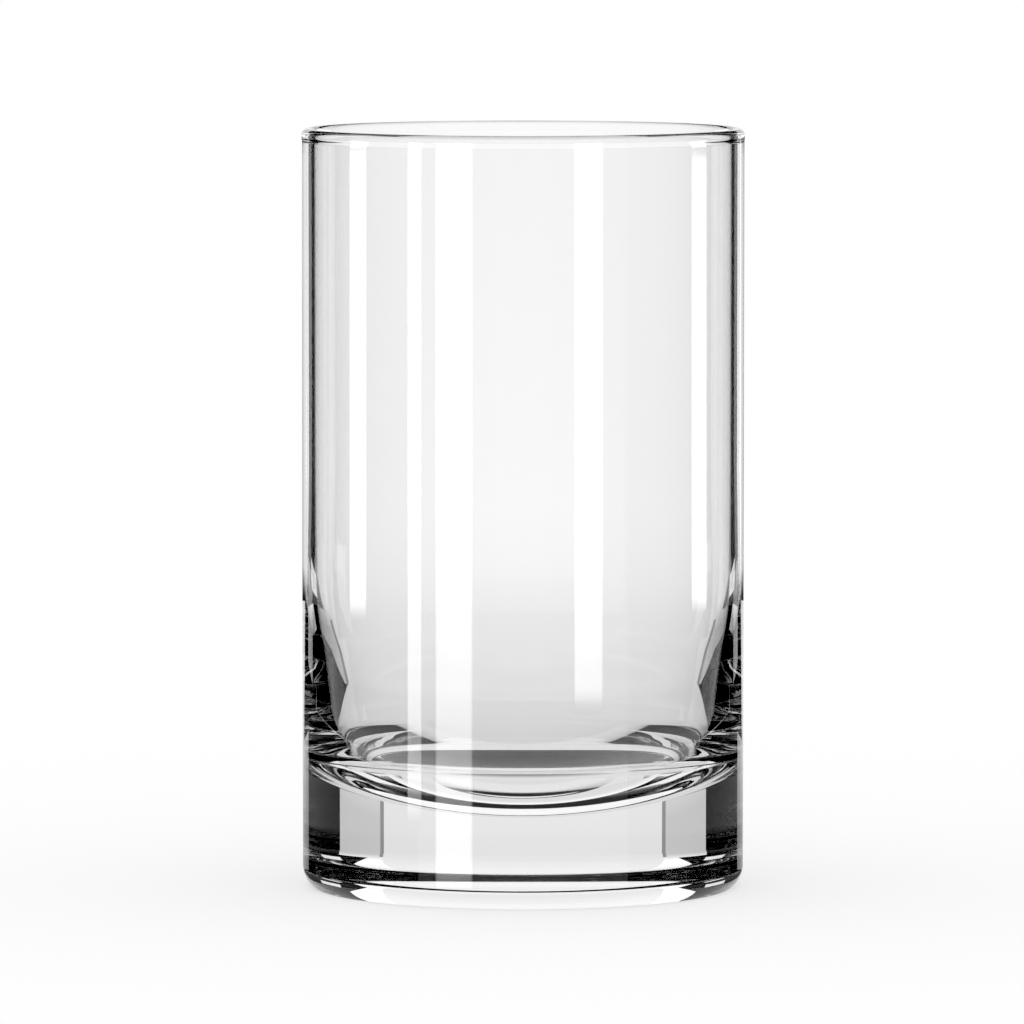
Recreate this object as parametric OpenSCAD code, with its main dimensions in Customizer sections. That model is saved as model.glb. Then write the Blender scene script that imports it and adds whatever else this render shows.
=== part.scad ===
// Highball glass: one piece of clear glass, straight sided, with a thick base.
// The origin is on the table, in the middle of the foot, and +Z runs up the axis.
// All sizes are in millimetres.

/* [Outline] */
// Outside diameter of the glass
glass_d = 66.7; // [58:0.1:76]
// Height from the table to the top of the rim
glass_h = 114.6; // [95:0.1:140]

/* [Wall and rim] */
// Thickness of the wall above the swelling
wall_t = 1.9; // [1.5:0.01:2.6]
// Thickness across the fire-polished bead of the rim
bead_t = 2.13; // [1.7:0.01:3]
// Radius of the hollow curve that joins the bead to the wall
neck_r = 4; // [2:0.1:8]

/* [Cavity] */
// Thickness of the base under the middle of the cavity
base_t = 11.5; // [9:0.1:16]
// Radius of the dished floor of the cavity
floor_r = 51.4; // [46:0.2:70]
// Radius of the corner between the floor and the wall
corner_r = 3.5; // [1.5:0.1:8]
// Slope of the wall from upright where the corner ends, in degrees
corner_slope = 16.3; // [13:0.1:26]
// Radius of the shoulder, where the wall curves in towards the corner
shoulder_r = 39.7; // [25:0.1:70]
// Height of the straight taper above the shoulder
taper_h = 9.8; // [4:0.1:16]
// Slope of that taper from upright, in degrees
taper_slope = 6.9; // [4:0.1:11]
// Radius of the long curve by which the wall swells
swell_r = 91; // [70:0.5:120]

/* [Foot] */
// Radius of the heel, between the side and the underside
heel_r = 4.1; // [3.3:0.1:6]
// Height above the table at which the heel starts to curve in
heel_h = 3.2; // [2:0.1:3.2]
// Width of the flat ring that the glass rests on
rest_ring_w = 5; // [2:0.1:9]
// Depth of the hollow under the base, at its middle
push_up_d = 0.6; // [0.3:0.05:2]

/* [Hidden] */
$fn = 192;

// How far each cut runs past the glass
overrun = 1;
// How far the tighter of two curves stands out past the other where they join, so that they cross
lap = 0.002;

outer_r = glass_d / 2;
inner_r = outer_r - wall_t;
mid_wall_r = outer_r - wall_t / 2;

// The bead is a circle on the middle of the wall, and hollow arcs carry it into both faces
bead_r = bead_t / 2;
bead_z = glass_h - bead_r;
neck_x = wall_t / 2 + neck_r;
neck_drop = sqrt(pow(bead_r + neck_r, 2) - pow(neck_x, 2));
neck_z = bead_z - neck_drop;

// From the wall in, each piece of the cavity's outline touches the next
swell_x = inner_r - swell_r;
taper_top_x = swell_x + swell_r * cos(taper_slope);
taper_end_x = taper_top_x - taper_h * tan(taper_slope);
shoulder_x = taper_end_x - shoulder_r * cos(taper_slope);
corner_x = shoulder_x + (shoulder_r - corner_r) * cos(corner_slope);
floor_slope = acos(corner_x / (floor_r - corner_r));

// From the base up, the heights of the circles' centres and of the taper's ends
floor_z = base_t + floor_r;
corner_z = floor_z - (floor_r - corner_r) * sin(floor_slope);
shoulder_z = corner_z + (shoulder_r - corner_r) * sin(corner_slope);
taper_end_z = shoulder_z - shoulder_r * sin(taper_slope);
taper_top_z = taper_end_z + taper_h;
swell_z = taper_top_z + swell_r * sin(taper_slope);

// Where the floor and the corner end
floor_end_x = floor_r * cos(floor_slope);
floor_end_z = floor_z - floor_r * sin(floor_slope);
corner_end_z = corner_z - corner_r * sin(corner_slope);

// The heel's circle crosses the table plane at the outside of the resting ring
heel_x = outer_r - heel_r;
rest_outer_r = heel_x + sqrt(pow(heel_r, 2) - pow(heel_h, 2));
rest_inner_r = rest_outer_r - rest_ring_w;

// Radius of the ball whose cap is the hollow under the base
push_up_r = (pow(rest_inner_r, 2) + pow(push_up_d, 2)) / (2 * push_up_d);

// Half of the blank, from the axis out: a plain block with its heel rounded
module blank_section() {
    difference() {
        square([outer_r, bead_z]);
        difference() {
            translate([heel_x, -overrun])
                square([heel_r + overrun, heel_h + overrun]);
            translate([heel_x, heel_h])
                circle(r = heel_r);
        }
    }
}

// The part of a circle that lies between two heights, on the side of the axis that is drawn
module arc_band(centre, radius, from_z, to_z) {
    intersection() {
        translate(centre)
            circle(r = radius);
        translate([0, from_z])
            square([centre[0] + radius + overrun, to_z - from_z]);
    }
}

// Half of the drink's space: the dished floor, the corner, the shoulder, the taper, the swelling
// and the well. At each joint the tighter curve runs on into its neighbour and covers its edge.
module cavity_section() {
    arc_band([0, floor_z], floor_r, 0, floor_end_z);
    translate([0, floor_end_z])
        square([floor_end_x, swell_z - floor_end_z]);
    translate([corner_x, corner_z])
        circle(r = corner_r + 2 * lap);
    arc_band([shoulder_x, shoulder_z], shoulder_r + lap, corner_end_z, taper_end_z + overrun);
    polygon([
        [0, taper_end_z],
        [taper_end_x, taper_end_z],
        [taper_top_x, taper_top_z],
        [0, taper_top_z]
    ]);
    arc_band([swell_x, swell_z], swell_r + lap, taper_top_z - overrun, swell_z + overrun);
    translate([0, swell_z])
        square([inner_r, glass_h + overrun - swell_z]);
}

// Half of the shallow hollow that keeps the middle of the base off the table
module push_up_section() {
    intersection() {
        translate([0, push_up_d - push_up_r])
            circle(r = push_up_r);
        translate([0, -overrun])
            square([rest_inner_r, push_up_d + overrun]);
    }
}

// The bead of the rim, with its two hollow necks
module bead_section() {
    translate([mid_wall_r, bead_z])
        circle(r = bead_r);
    difference() {
        translate([mid_wall_r - bead_r, neck_z])
            square([bead_t, neck_drop]);
        for (side = [-1, 1])
            translate([mid_wall_r + side * neck_x, neck_z])
                circle(r = neck_r);
    }
}

// The whole glass, turned about its axis
module tumbler() {
    color([0.86, 0.89, 0.89, 0.45])
    rotate_extrude()
    union() {
        difference() {
            blank_section();
            cavity_section();
            push_up_section();
        }
        bead_section();
    }
}

tumbler();
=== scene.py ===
"""A straight-sided highball glass on a pale table, laid out as an add-on and run as a script."""

import math

import bmesh
import bpy
from bpy.props import FloatProperty, IntProperty, PointerProperty, StringProperty
from mathutils import Matrix, Vector


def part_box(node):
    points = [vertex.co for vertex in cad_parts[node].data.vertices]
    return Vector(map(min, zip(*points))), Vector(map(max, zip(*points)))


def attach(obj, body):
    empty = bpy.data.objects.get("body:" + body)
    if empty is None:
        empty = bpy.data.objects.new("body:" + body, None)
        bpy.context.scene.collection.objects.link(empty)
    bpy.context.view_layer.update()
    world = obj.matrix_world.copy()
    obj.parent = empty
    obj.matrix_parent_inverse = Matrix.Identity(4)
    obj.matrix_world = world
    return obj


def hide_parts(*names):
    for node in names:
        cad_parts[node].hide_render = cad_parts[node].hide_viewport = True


bl_info = {
    "name": "Highball Glass",
    "version": (1, 0, 0),
    "blender": (4, 5, 0),
    "location": "3D View > Sidebar > Glass",
    "description": "Turns a heavy-based highball glass and sets it in a plain studio",
    "category": "Add Mesh",
}

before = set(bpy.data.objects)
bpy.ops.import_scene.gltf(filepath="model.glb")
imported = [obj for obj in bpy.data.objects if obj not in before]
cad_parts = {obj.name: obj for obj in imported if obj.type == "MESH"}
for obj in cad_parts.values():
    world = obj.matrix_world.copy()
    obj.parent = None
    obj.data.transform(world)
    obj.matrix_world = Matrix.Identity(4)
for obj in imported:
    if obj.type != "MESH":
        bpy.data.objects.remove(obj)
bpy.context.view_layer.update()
tumbler_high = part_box("tumbler")[1]

MM = 0.001

# Across the straight side, through its wall, and across the rim, in millimetres
DIAMETER = 66.7
WALL = 1.9
RIM_WIDTH = tumbler_high.x / MM * 2

# The photograph's frame, and where the glass stands in it
IMAGE_WIDTH = 1024
AXIS_COLUMN = 523
SENSOR_WIDTH = 36.0

# Cards that show in the outer face of the glass, by the columns of the photograph between which
# each one's reflection lies, and by the rows at its top and bottom
STRIPS = {
    "far_left": (349, 367, 138, 622),
    "left": (407, 422, 130, 826),
    "main": (434, 474, 118, 906),
    "right": (573, 604, 118, 714),
    "far_right": (691, 707, 145, 616),
    "edge_left": (302, 306, 140, 600),
    "edge_right": (741, 745, 140, 600),
}

# The rig round the glass: where the paper stands behind it, half the paper's width before the seams
# and in all, the heights of its foot and top, the top of the black boards, and the size of the room
BACK_Y = 159 * MM
PAPER_HALF = 63.5 * MM
BACK_HALF = 121 * MM
PAPER_FOOT = -20 * MM
PAPER_TOP = 155 * MM
BOARD_TOP = 260 * MM
ROOM_RADIUS = 500 * MM

# How far one card stands in front of the next
CARD_GAP = 1 * MM


def length(name, description, millimetres):
    """A property for a length, given in millimetres and kept in metres."""
    return FloatProperty(
        name=name,
        description=description,
        default=millimetres * MM,
        min=0.0,
        unit="LENGTH",
        subtype="DISTANCE",
        precision=4,
    )


def slope(name, description, degrees):
    """A property for an angle, given in degrees and kept in radians."""
    return FloatProperty(
        name=name,
        description=description,
        default=math.radians(degrees),
        unit="ROTATION",
        subtype="ANGLE",
    )


def share(name, description, value):
    """A property for a plain number from nought up."""
    return FloatProperty(name=name, description=description, default=value, min=0.0, subtype="FACTOR")


def paint(name, description, code):
    """A property for a colour, kept as its sRGB hex code."""
    return StringProperty(name=name, description=description, default=code, maxlen=7)


class TumblerSizes(bpy.types.PropertyGroup):
    """The sizes of the glass"""

    height: length("Height", "From the table to the top of the rim", tumbler_high.z / MM)
    diameter: length("Diameter", "Across the straight side", DIAMETER)
    wall: length("Wall", "Thickness of the wall above the swelling", WALL)
    bead: length("Bead", "Thickness across the fire-polished rim", RIM_WIDTH - (DIAMETER - WALL))
    neck: length("Neck", "Radius of the hollow curves under the bead", 4.0)
    base: length("Base", "Thickness of the base at its middle", 11.5)
    floor: length("Floor", "Radius of the dished floor of the cavity", 51.4)
    corner: length("Corner", "Radius of the corner between the floor and the wall", 3.5)
    corner_slope: slope("Corner slope", "Slope from upright at which the corner ends", 16.3)
    shoulder: length("Shoulder", "Radius of the curve above the corner", 39.7)
    taper: length("Taper", "Height of the straight taper above the shoulder", 9.8)
    taper_slope: slope("Taper slope", "Slope of the taper from upright", 6.9)
    swell: length("Swelling", "Radius of the long curve by which the wall swells", 91.0)
    heel: length("Heel", "Radius of the curve between the side and the underside", 4.1)
    heel_height: length("Heel height", "Where the heel starts to curve in", 3.2)
    rest_ring: length("Resting ring", "Width of the ring that touches the table", 5.0)
    push_up: length("Push-up", "Depth of the hollow under the base", 0.6)
    segments: IntProperty(name="Segments", description="Faces round the glass", default=480, min=48)


class TumblerFinish(bpy.types.PropertyGroup):
    """The glass that the tumbler is made of"""

    tint: paint("Tint", "Colour of light that has gone through the thick base", "#EBECEC")
    density: share("Density", "How strongly the tint shows, per metre of glass", 4.0)
    ior: share("Index", "Index of refraction of soda-lime glass", 1.52)


class StudioSetup(bpy.types.PropertyGroup):
    """The table and the camera"""

    camera_distance: length("Camera distance", "From the axis to the camera, along the table", 1388.0)
    camera_height: length("Camera height", "Above the table", 165.1)
    camera_pitch: slope("Camera pitch", "How far the camera looks down", 4.47)
    lens: FloatProperty(name="Lens", description="Focal length", default=323.9, unit="CAMERA")
    table_radius: length("Table", "Radius of the round table top", 630.0)
    table_colour: paint("Table colour", "Matt laminate, before its glow", "#A8A8A8")


def linear(code):
    """Turns an sRGB hex code into the linear colour that shaders take."""
    shares = [int(code[i:i + 2], 16) / 255 for i in (1, 3, 5)]
    return [c / 12.92 if c <= 0.04045 else ((c + 0.055) / 1.055) ** 2.4 for c in shares]


def add_node(tree, kind, inputs=None, **settings):
    """Adds one node, sets it up, and fills or links its inputs."""
    node = tree.nodes.new(kind)
    for name, value in settings.items():
        setattr(node, name, value)
    for socket, value in (inputs or {}).items():
        if isinstance(value, bpy.types.NodeSocket):
            tree.links.new(value, node.inputs[socket])
        else:
            node.inputs[socket].default_value = value
    return node


def new_material(name):
    """An empty node material."""
    material = bpy.data.materials.new(name)
    material.use_nodes = True
    material.node_tree.nodes.clear()
    return material


def new_object(name, bm, material):
    """Puts a finished bmesh into the scene as an object at the origin."""
    mesh = bpy.data.meshes.new(name)
    bm.to_mesh(mesh)
    bm.free()
    mesh.materials.append(material)
    obj = bpy.data.objects.new(name, mesh)
    bpy.context.scene.collection.objects.link(obj)
    return obj


def line_to(bm, point, x, z, steps=1):
    """Carries the outline on from point in a straight line, and returns its end."""
    start = point.co.copy()
    end = Vector((x, 0, z))
    for step in range(1, steps + 1):
        point = bmesh.ops.extrude_vert_indiv(bm, verts=[point])["verts"][0]
        point.co = start.lerp(end, step / steps)
    return point


def arc_about(bm, point, x, z, angle, steps):
    """Carries the outline on from point round a centre, and returns its end. A positive angle turns
    it to the left."""
    spun = bmesh.ops.spin(
        bm, geom=[point], cent=(x, 0, z), axis=(0, -1, 0), angle=angle, steps=steps
    )
    return next(v for v in spun["geom_last"] if isinstance(v, bmesh.types.BMVert))


def draw_underside(bm, size, outer):
    """The push-up, the resting ring and the heel, from the axis out to the side."""
    heel_x = outer - size.heel
    heel_turn = math.asin(size.heel_height / size.heel)
    rest_outer = heel_x + size.heel * math.cos(heel_turn)
    rest_inner = rest_outer - size.rest_ring
    dome = (rest_inner ** 2 + size.push_up ** 2) / (2 * size.push_up)
    dome_steps = 24
    ring_steps = 12
    heel_steps = 16
    point = bm.verts.new((0, 0, size.push_up))
    point = arc_about(bm, point, 0, size.push_up - dome, -math.asin(rest_inner / dome), dome_steps)
    point = line_to(bm, point, rest_outer, 0, ring_steps)
    return arc_about(bm, point, heel_x, size.heel_height, heel_turn, heel_steps)


def draw_rim(bm, size, point, outer):
    """The straight side, the bead between its two hollow necks, and down to the inner wall."""
    bead = size.bead / 2
    middle = outer - size.wall / 2
    neck_x = size.wall / 2 + size.neck
    drop = math.sqrt((bead + size.neck) ** 2 - neck_x ** 2)
    bead_z = size.height - bead
    neck_z = bead_z - drop
    turn = math.atan2(drop, neck_x)
    neck_steps = 6
    bead_steps = 32
    point = line_to(bm, point, outer, neck_z)
    point = arc_about(bm, point, middle + neck_x, neck_z, -turn, neck_steps)
    point = arc_about(bm, point, middle, bead_z, math.pi + 2 * turn, bead_steps)
    return arc_about(bm, point, middle - neck_x, neck_z, -turn, neck_steps)


def draw_cavity(bm, size, point, outer):
    """The well, swelling, taper, shoulder, corner and floor, each of them tangent to the next."""
    inner = outer - size.wall
    swell_x = inner - size.swell
    taper_top_x = swell_x + size.swell * math.cos(size.taper_slope)
    taper_end_x = taper_top_x - size.taper * math.tan(size.taper_slope)
    shoulder_x = taper_end_x - size.shoulder * math.cos(size.taper_slope)
    corner_x = shoulder_x + (size.shoulder - size.corner) * math.cos(size.corner_slope)
    floor_slope = math.acos(corner_x / (size.floor - size.corner))
    floor_z = size.base + size.floor
    corner_z = floor_z - (size.floor - size.corner) * math.sin(floor_slope)
    shoulder_z = corner_z + (size.shoulder - size.corner) * math.sin(size.corner_slope)
    taper_end_z = shoulder_z - size.shoulder * math.sin(size.taper_slope)
    swell_z = taper_end_z + size.taper + size.swell * math.sin(size.taper_slope)
    swell_steps = 20
    shoulder_steps = 16
    corner_steps = 16
    floor_steps = 32
    shoulder_turn = size.taper_slope - size.corner_slope
    point = line_to(bm, point, inner, swell_z)
    point = arc_about(bm, point, swell_x, swell_z, -size.taper_slope, swell_steps)
    point = line_to(bm, point, taper_end_x, taper_end_z)
    point = arc_about(bm, point, shoulder_x, shoulder_z, shoulder_turn, shoulder_steps)
    point = arc_about(bm, point, corner_x, corner_z, size.corner_slope - floor_slope, corner_steps)
    return arc_about(bm, point, 0, floor_z, floor_slope - math.pi / 2, floor_steps)


def fire_polished_soda_lime(finish):
    """Fire-polished soda-lime glass: clear and mirror smooth. The mould leaves a faint ripple on it,
    which bends the edges of reflections a little, and it shows a grey tint where it is thick."""
    ripple_width = 14 * MM
    ripple_depth = 0.02 * MM
    material = new_material("fire_polished_soda_lime_glass")
    tree = material.node_tree
    place = add_node(tree, "ShaderNodeTexCoord")
    ripple = add_node(
        tree, "ShaderNodeTexNoise",
        {"Vector": place.outputs["Object"], "Scale": 1 / ripple_width, "Detail": 1.0},
    )
    bump = add_node(
        tree, "ShaderNodeBump",
        {"Height": ripple.outputs["Fac"], "Strength": 0.05, "Distance": ripple_depth},
    )
    shader = add_node(
        tree, "ShaderNodeBsdfPrincipled",
        {
            "Base Color": (1, 1, 1, 1),
            "Roughness": 0.0,
            "IOR": finish.ior,
            "Transmission Weight": 1.0,
            "Normal": bump.outputs["Normal"],
        },
    )
    depth = add_node(
        tree, "ShaderNodeVolumeAbsorption",
        {"Color": (*linear(finish.tint), 1), "Density": finish.density},
    )
    add_node(
        tree, "ShaderNodeOutputMaterial",
        {"Surface": shader.outputs["BSDF"], "Volume": depth.outputs["Volume"]},
    )
    return material


class GLASS_OT_tumbler(bpy.types.Operator):
    """Turn the tumbler: one closed shell of clear glass in place of the plain one"""

    bl_idname = "glass.tumbler"
    bl_label = "Tumbler"

    def execute(self, context):
        size = context.scene.tumbler_sizes
        outer = size.diameter / 2
        same_place = 0.001 * MM
        crease = math.radians(25)
        bm = bmesh.new()
        point = draw_underside(bm, size, outer)
        point = draw_rim(bm, size, point, outer)
        point = draw_cavity(bm, size, point, outer)
        if abs(point.co.x) > MM:
            raise RuntimeError("the outline of the tumbler doesn't end on its axis")
        bmesh.ops.spin(
            bm, geom=bm.verts[:] + bm.edges[:], cent=(0, 0, 0), axis=(0, 0, 1),
            angle=math.tau, steps=size.segments, use_merge=True,
        )
        bmesh.ops.remove_doubles(bm, verts=bm.verts, dist=same_place)
        bmesh.ops.recalc_face_normals(bm, faces=bm.faces)
        for face in bm.faces:
            face.smooth = True
        for edge in bm.edges:
            edge.smooth = edge.calc_face_angle(0) < crease
        glass = new_object("tumbler_glass", bm, fire_polished_soda_lime(context.scene.tumbler_finish))
        # Long faces keep their own direction, so that nothing bends on the straight parts of the wall
        glass.modifiers.new("straight_shading", "WEIGHTED_NORMAL").keep_sharp = True
        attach(glass, "root")
        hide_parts("tumbler")
        return {"FINISHED"}


def glowing(name, code, strength):
    """A plain light surface."""
    material = new_material(name)
    tree = material.node_tree
    glow = add_node(tree, "ShaderNodeEmission", {"Color": (*linear(code), 1), "Strength": strength})
    add_node(tree, "ShaderNodeOutputMaterial", {"Surface": glow.outputs["Emission"]})
    return material


def outer_face_card(name, brightness):
    """A strip light behind a diffuser, or a dim grey card: even, with soft edges. It is flagged off from
    the inside of the glass, so it shows in the outer face only."""
    side_fade_share = 0.2
    end_fade_share = 0.1
    material = new_material(name)
    tree = material.node_tree
    path = add_node(tree, "ShaderNodeLightPath")
    outside = add_node(
        tree, "ShaderNodeMath", {0: path.outputs["Transmission Depth"], 1: 0.5}, operation="LESS_THAN",
    )
    place = add_node(tree, "ShaderNodeUVMap")
    axes = add_node(tree, "ShaderNodeSeparateXYZ", {"Vector": place.outputs["UV"]})
    strength = brightness
    for axis, fade_share in (("X", side_fade_share), ("Y", end_fade_share)):
        middle = add_node(tree, "ShaderNodeMath", {0: axes.outputs[axis], 1: 0.5}, operation="SUBTRACT")
        aside = add_node(tree, "ShaderNodeMath", {0: middle.outputs[0]}, operation="ABSOLUTE")
        fade = add_node(
            tree, "ShaderNodeMapRange",
            {"Value": aside.outputs[0], "From Min": 0.5, "From Max": 0.5 - fade_share / 2},
            interpolation_type="SMOOTHSTEP",
        )
        faded = add_node(tree, "ShaderNodeMath", {0: strength, 1: fade.outputs[0]}, operation="MULTIPLY")
        strength = faded.outputs[0]
    light = add_node(tree, "ShaderNodeEmission", {"Strength": strength})
    clear = add_node(tree, "ShaderNodeBsdfTransparent")
    either = add_node(
        tree, "ShaderNodeMixShader",
        {0: outside.outputs[0], 1: clear.outputs["BSDF"], 2: light.outputs["Emission"]},
    )
    add_node(tree, "ShaderNodeOutputMaterial", {"Surface": either.outputs["Shader"]})
    return material


def graded_light(name, axis, start, end):
    """A plain light surface that changes evenly along one axis. Start and end are each a place on that
    axis and the strength there."""
    material = new_material(name)
    tree = material.node_tree
    place = add_node(tree, "ShaderNodeTexCoord")
    axes = add_node(tree, "ShaderNodeSeparateXYZ", {"Vector": place.outputs["Object"]})
    strength = add_node(
        tree, "ShaderNodeMapRange",
        {
            "Value": axes.outputs[axis],
            "From Min": start[0],
            "From Max": end[0],
            "To Min": start[1],
            "To Max": end[1],
        },
    )
    light = add_node(tree, "ShaderNodeEmission", {"Strength": strength.outputs[0]})
    add_node(tree, "ShaderNodeOutputMaterial", {"Surface": light.outputs["Emission"]})
    return material


def matt_table(setup):
    """White laminate: matt and even, with a soft shadow at the foot. A glow brings it up to the white of
    the backdrop for the camera. The glass doesn't see it, and shows the rig's paper in its place."""
    camera_glow = 0.61
    material = new_material("matt_white_laminate")
    tree = material.node_tree
    matt = add_node(tree, "ShaderNodeBsdfDiffuse", {"Color": (*linear(setup.table_colour), 1)})
    path = add_node(tree, "ShaderNodeLightPath")
    lift = add_node(
        tree, "ShaderNodeMath",
        {0: path.outputs["Is Camera Ray"], 1: camera_glow}, operation="MULTIPLY",
    )
    glow = add_node(tree, "ShaderNodeEmission", {"Strength": lift.outputs[0]})
    both = add_node(tree, "ShaderNodeAddShader", {0: matt.outputs["BSDF"], 1: glow.outputs["Emission"]})
    add_node(tree, "ShaderNodeOutputMaterial", {"Surface": both.outputs["Shader"]})
    return material


def white_world(scene):
    """An even white backdrop all round, which lights a colour as it is written."""
    world = bpy.data.worlds.new("white_backdrop")
    world.use_nodes = True
    world.node_tree.nodes.clear()
    back = add_node(world.node_tree, "ShaderNodeBackground", {"Color": (1, 1, 1, 1), "Strength": 1.0})
    add_node(world.node_tree, "ShaderNodeOutputWorld", {"Surface": back.outputs["Background"]})
    scene.world = world


def set_camera(scene, setup):
    """The camera at the photograph's place, turned so that the glass stands at its column."""
    data = bpy.data.cameras.new("camera")
    data.lens = setup.lens
    data.sensor_width = SENSOR_WIDTH
    camera = bpy.data.objects.new("camera", data)
    scene.collection.objects.link(camera)
    aside = (AXIS_COLUMN - IMAGE_WIDTH / 2) / IMAGE_WIDTH * SENSOR_WIDTH
    camera.location = (0, -setup.camera_distance, setup.camera_height)
    camera.rotation_euler = (math.pi / 2 - setup.camera_pitch, 0, math.atan(aside / setup.lens))
    scene.camera = camera
    bpy.context.view_layer.update()
    return camera


def pixel_ray(camera, column, row):
    """The way that the camera looks through a pixel of the photograph."""
    half = IMAGE_WIDTH / 2
    pixel = camera.data.sensor_width / IMAGE_WIDTH
    way = Vector(((column - half) * pixel, (half - row) * pixel, -camera.data.lens))
    return (camera.matrix_world.to_3x3() @ way).normalized()


def level_hit(start, way, radius, far):
    """Where a ray crosses an upright cylinder about the axis: its near side, or its far side. A ray that
    just misses is taken as one that touches."""
    level = way.x ** 2 + way.y ** 2
    nearest = -(start.x * way.x + start.y * way.y)
    outside = start.x ** 2 + start.y ** 2 - radius ** 2
    root = math.sqrt(max(nearest ** 2 - level * outside, 0.0))
    return start + way * ((nearest + root if far else nearest - root) / level)


def mirrored_place(camera, column, row, side, distance):
    """The place, that far from the axis, whose reflection in the upright side shows at a pixel."""
    way = pixel_ray(camera, column, row)
    touch = level_hit(camera.location, way, side, False)
    back = way.reflect(Vector((touch.x, touch.y, 0)).normalized())
    return level_hit(touch, back, distance, True)


def four_sided(corners):
    """A bmesh of one flat face, with its map from corner to corner."""
    bm = bmesh.new()
    face = bm.faces.new([bm.verts.new(corner) for corner in corners])
    layer = bm.loops.layers.uv.new()
    for loop, uv in zip(face.loops, ((0, 0), (1, 0), (1, 1), (0, 1))):
        loop[layer].uv = uv
    return bm


def upright_board(start, end, bottom, top):
    """An upright flat board between two places on the floor plan."""
    return four_sided([(*start, bottom), (*end, bottom), (*end, top), (*start, top)])


def hang_on_rig(obj, camera):
    """The rig turns with the camera, as when the glass is turned on its table and the lights stay.
    It shows only in reflections and through the glass."""
    obj.parent = camera
    obj.matrix_parent_inverse = camera.matrix_world.inverted()
    obj.visible_camera = False
    obj.visible_diffuse = False
    obj.visible_shadow = False
    obj.visible_volume_scatter = False


def add_strips(camera, side):
    """The strip lights, and the grey card that dims each edge of the glass."""
    distance = 115 * MM
    light = outer_face_card("soft_strip_light", 5.5)
    grey = outer_face_card("grey_edge_card", 0.3)
    for name, (left, right, top, bottom) in STRIPS.items():
        pixels = ((left, bottom), (right, bottom), (right, top), (left, top))
        corners = [mirrored_place(camera, *pixel, side, distance) for pixel in pixels]
        material = grey if name.startswith("edge") else light
        hang_on_rig(new_object(f"strip_{name}", four_sided(corners), material), camera)


def add_backdrop(camera, black):
    """The white paper behind the glass, on a black board. Its glow is painted dimmer towards its foot,
    as painted shade.
    """
    bright_z = 45 * MM
    # Painted shade: the paper glows dimmer towards its foot, and a little over white above bright_z
    white = graded_light("backdrop_paper", "Z", (PAPER_FOOT, 0.82), (bright_z, 1.04))
    board_y = BACK_Y + CARD_GAP
    board = upright_board((-BACK_HALF, board_y), (BACK_HALF, board_y), PAPER_FOOT, BOARD_TOP)
    hang_on_rig(new_object("board_back", board, black), camera)
    paper = upright_board((-PAPER_HALF, BACK_Y), (PAPER_HALF, BACK_Y), PAPER_FOOT, PAPER_TOP)
    hang_on_rig(new_object("backdrop", paper, white), camera)


def add_sides(camera, black):
    """On each side, the side paper beyond a seam of painted shade, a black board with a lit slot, and
    two black cards in front of the paper's outer corner, of which the lower one leans inwards."""
    dim_z = -8 * MM
    bright_z = 12 * MM
    seam_half = 1.5 * MM
    seam_top = 0
    board_near = -100 * MM
    corner_inner = 106 * MM
    corner_foot = 76 * MM
    corner_low = 5 * MM
    corner_bend = 50 * MM
    slot_near = 110 * MM
    slot_low = 17 * MM
    slot_top = 35 * MM
    card_y = BACK_Y - CARD_GAP
    # Painted shade and painted light: the side paper glows dim below dim_z and over white above bright_z
    white = graded_light("backdrop_paper_side", "Z", (dim_z, 0.62), (bright_z, 1.18))
    slot = glowing("side_slot", "#FFFFFF", 1.0)
    # Painted shade: the seam between the papers is a strip that glows grey
    shade = glowing("paper_seam_painted_shade", "#959595", 1.0)
    for name, hand in (("left", -1), ("right", 1)):
        seam_inner = (hand * (PAPER_HALF - seam_half), card_y)
        seam_outer = (hand * (PAPER_HALF + seam_half), card_y)
        seam = upright_board(seam_inner, seam_outer, PAPER_FOOT, seam_top)
        hang_on_rig(new_object(f"seam_{name}", seam, shade), camera)
        edge = (hand * BACK_HALF, BACK_Y)
        paper = upright_board((hand * PAPER_HALF, BACK_Y), edge, PAPER_FOOT, PAPER_TOP)
        hang_on_rig(new_object(f"backdrop_{name}", paper, white), camera)
        board = upright_board((hand * BACK_HALF, board_near), edge, PAPER_FOOT, BOARD_TOP)
        hang_on_rig(new_object(f"board_{name}", board, black), camera)
        inner = (hand * corner_inner, card_y)
        corner = upright_board(inner, (hand * BACK_HALF, card_y), corner_bend, BOARD_TOP)
        hang_on_rig(new_object(f"corner_{name}", corner, black), camera)
        foot = four_sided([
            (hand * corner_foot, card_y, corner_low),
            (hand * BACK_HALF, card_y, corner_low),
            (hand * BACK_HALF, card_y, corner_bend),
            (hand * corner_inner, card_y, corner_bend),
        ])
        hang_on_rig(new_object(f"corner_foot_{name}", foot, black), camera)
        slot_x = hand * (BACK_HALF - CARD_GAP)
        lit = upright_board((slot_x, slot_near), (slot_x, BACK_Y), slot_low, slot_top)
        hang_on_rig(new_object(f"slot_{name}", lit, slot), camera)


def add_sweep(camera):
    """The paper's flat part under the glass, whose glow is painted to fade out in front of it, as
    painted shade.
    """
    front = -45 * MM
    lit = -15 * MM
    # Painted shade: the sweep's glow falls from 0.8 under the glass to nothing at the front
    white = graded_light("paper_sweep", "Y", (front, 0.0), (lit, 0.8))
    corners = [
        (-PAPER_HALF, front, PAPER_FOOT),
        (PAPER_HALF, front, PAPER_FOOT),
        (PAPER_HALF, BACK_Y, PAPER_FOOT),
        (-PAPER_HALF, BACK_Y, PAPER_FOOT),
    ]
    hang_on_rig(new_object("sweep", four_sided(corners), white), camera)


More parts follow.
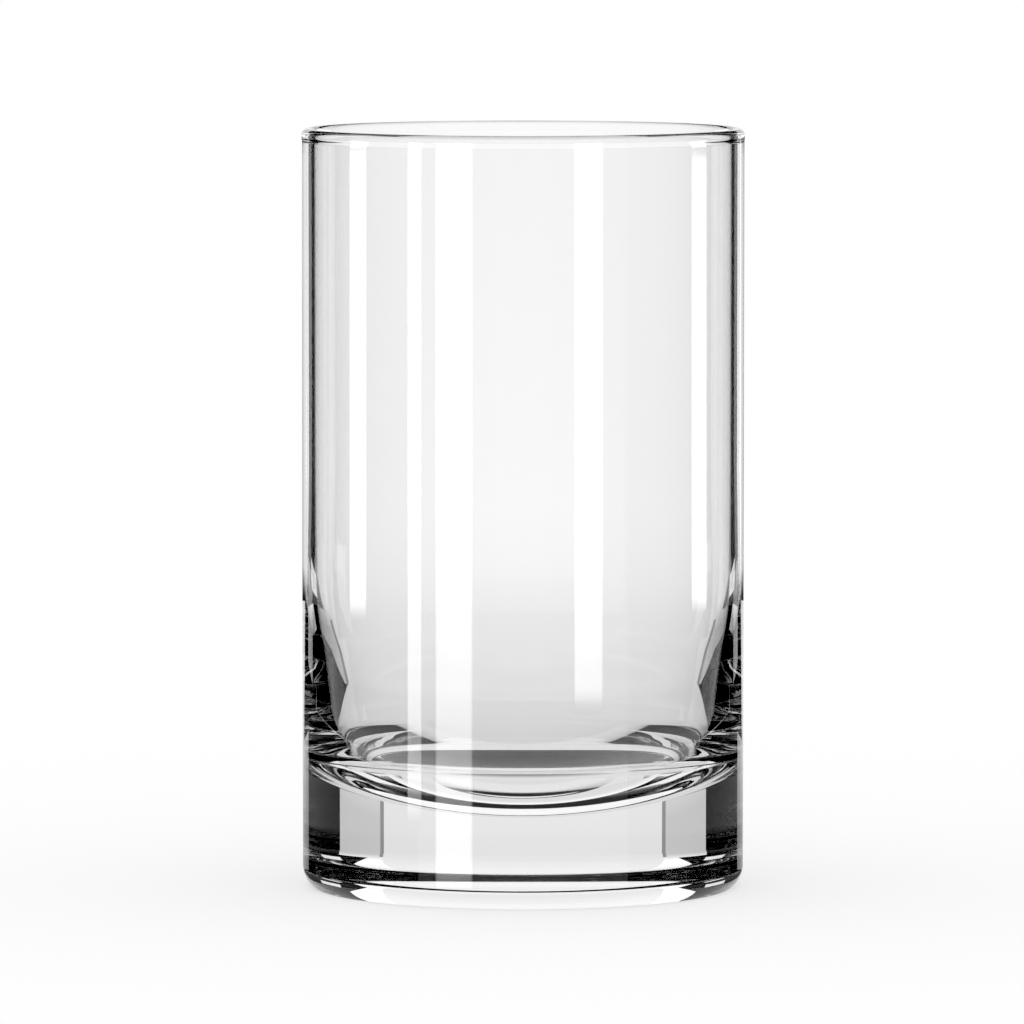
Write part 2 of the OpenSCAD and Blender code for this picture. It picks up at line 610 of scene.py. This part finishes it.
def add_room(camera, black):
    """The black floor, the black studio all round, and the dim half of the room in front."""
    floor_z = -60 * MM
    studio_radius = 520 * MM
    dim_top = 150 * MM
    dim = graded_light("dim_room", "Z", (0, 0.5), (dim_top, 0.0))
    floor = bmesh.new()
    bmesh.ops.create_circle(
        floor, cap_ends=True, segments=64, radius=ROOM_RADIUS,
        matrix=Matrix.Translation((0, 0, floor_z)),
    )
    hang_on_rig(new_object("black_floor", floor, black), camera)
    studio = bmesh.new()
    bmesh.ops.create_uvsphere(studio, u_segments=48, v_segments=24, radius=studio_radius)
    hang_on_rig(new_object("black_studio", studio, black), camera)
    room = bmesh.new()
    bmesh.ops.create_uvsphere(room, u_segments=48, v_segments=24, radius=ROOM_RADIUS)
    bmesh.ops.bisect_plane(
        room, geom=room.verts[:] + room.edges[:] + room.faces[:], plane_co=(0, 0, 0),
        plane_no=(0, 1, 0), clear_outer=True,
    )
    hang_on_rig(new_object("dim_room", room, dim), camera)


class GLASS_OT_studio(bpy.types.Operator):
    """Set up the table, the backdrop, the lights and the camera"""

    bl_idname = "glass.studio"
    bl_label = "Studio"

    def execute(self, context):
        scene = context.scene
        setup = scene.studio_setup
        air_gap = 0.02 * MM
        bounces = 16
        bm = bmesh.new()
        bmesh.ops.create_circle(
            bm, cap_ends=True, segments=128, radius=setup.table_radius,
            matrix=Matrix.Translation((0, 0, -air_gap)),
        )
        table = new_object("table", bm, matt_table(setup))
        table.visible_glossy = False
        table.visible_transmission = False
        white_world(scene)
        camera = set_camera(scene, setup)
        black = glowing("black_board", "#000000", 0.0)
        add_strips(camera, scene.tumbler_sizes.diameter / 2)
        add_backdrop(camera, black)
        add_sides(camera, black)
        add_sweep(camera)
        add_room(camera, black)
        scene.view_settings.view_transform = "Standard"
        scene.cycles.max_bounces = bounces
        scene.cycles.transmission_bounces = bounces
        scene.cycles.glossy_bounces = bounces
        return {"FINISHED"}


class GLASS_PT_sidebar(bpy.types.Panel):
    """The steps that build the scene, and the sizes that they use"""

    bl_idname = "GLASS_PT_sidebar"
    bl_label = "Highball Glass"
    bl_space_type = "VIEW_3D"
    bl_region_type = "UI"
    bl_category = "Glass"

    def draw(self, context):
        scene = context.scene
        for group in (scene.tumbler_sizes, scene.tumbler_finish, scene.studio_setup):
            box = self.layout.box()
            for name in group.__annotations__:
                box.prop(group, name)
        self.layout.operator(GLASS_OT_tumbler.bl_idname)
        self.layout.operator(GLASS_OT_studio.bl_idname)


CLASSES = (
    TumblerSizes,
    TumblerFinish,
    StudioSetup,
    GLASS_OT_tumbler,
    GLASS_OT_studio,
    GLASS_PT_sidebar,
)


def register():
    for cls in CLASSES:
        bpy.utils.register_class(cls)
    bpy.types.Scene.tumbler_sizes = PointerProperty(type=TumblerSizes)
    bpy.types.Scene.tumbler_finish = PointerProperty(type=TumblerFinish)
    bpy.types.Scene.studio_setup = PointerProperty(type=StudioSetup)


def unregister():
    del bpy.types.Scene.studio_setup
    del bpy.types.Scene.tumbler_finish
    del bpy.types.Scene.tumbler_sizes
    for cls in reversed(CLASSES):
        bpy.utils.unregister_class(cls)


def main():
    """Builds the glass and its studio."""
    register()
    bpy.ops.glass.tumbler()
    bpy.ops.glass.studio()


if __name__ == "__main__":
    main()
